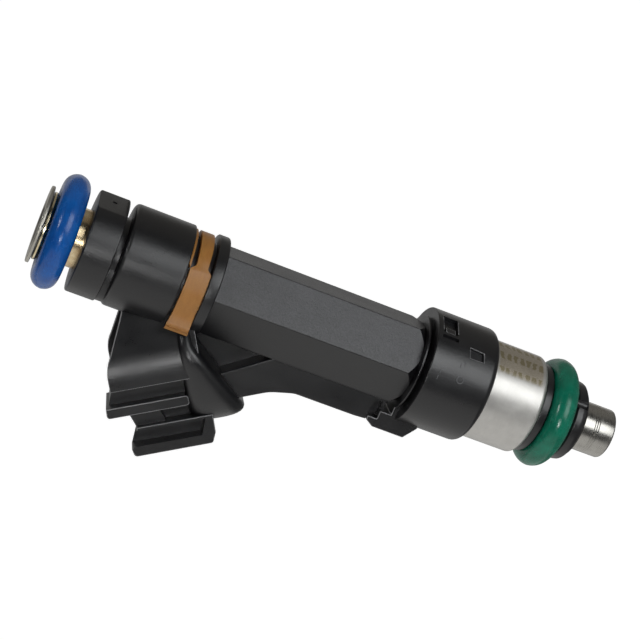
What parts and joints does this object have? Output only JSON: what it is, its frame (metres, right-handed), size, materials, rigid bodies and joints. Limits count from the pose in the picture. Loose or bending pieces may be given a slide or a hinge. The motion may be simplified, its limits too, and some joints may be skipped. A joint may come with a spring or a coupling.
{
  "type": "fuel injector",
  "caption": "Port fuel injector: plastic body with angled electrical socket, sealing rings at both ends, steel valve end, and a spring-closed needle that lifts off its seat.",
  "frame": {"origin": "centre of the lower O-ring, on the injector's axis", "axes": "+Z along the axis towards the fuel inlet, +X towards the electrical connector"},
  "size_m": [0.0301, 0.0152, 0.078],
  "materials": {
    "bright_steel": "satin turned stainless",
    "tinted_steel": "satin stainless with a straw heat tint",
    "spring_steel": "drawn wire",
    "magnetic_steel": "machined",
    "terminal_brass": "tinned brass strip",
    "copper_wire": "enamelled copper wire, wound",
    "blue_rubber": "smooth moulded, slightly glossy",
    "green_rubber": "smooth moulded, glossy",
    "black_plastic": "satin glass-filled nylon",
    "brown_plastic": "satin moulded",
    "natural_nylon": "unfilled nylon"
  },
  "bodies": {
    "injector": {"inlet_flange": "bright_steel", "fuel_tube": "tinted_steel", "filter_cage": "natural_nylon", "filter_mesh": "natural_nylon", "upper_o_ring": "blue_rubber", "body_overmould": "black_plastic", "colour_band": "brown_plastic", "terminal_left": "terminal_brass", "terminal_right": "terminal_brass", "adjusting_sleeve": "bright_steel", "return_spring": "spring_steel", "pole_core": "magnetic_steel", "nonmagnetic_ring": "bright_steel", "valve_seat": "bright_steel", "spray_disc": "bright_steel", "valve_body": "bright_steel", "coil_bobbin": "black_plastic", "coil_winding": "copper_wire", "flux_washer": "magnetic_steel", "steel_housing": "bright_steel", "o_ring_backing": "black_plastic", "lower_o_ring": "green_rubber", "o_ring_retainer": "black_plastic"},
    "needle": {"armature": "magnetic_steel", "valve_tube": "bright_steel", "valve_ball": "bright_steel"}
  },
  "joints": [
    {"name": "needle_lift", "type": "slide", "parent": "injector", "child": "needle", "axis": [0, 0, 1], "range_m": [0, 0.0001], "stiffness_N_per_m": 200, "springref_m": -0.015, "deforming": ["return_spring"]}
  ]
}
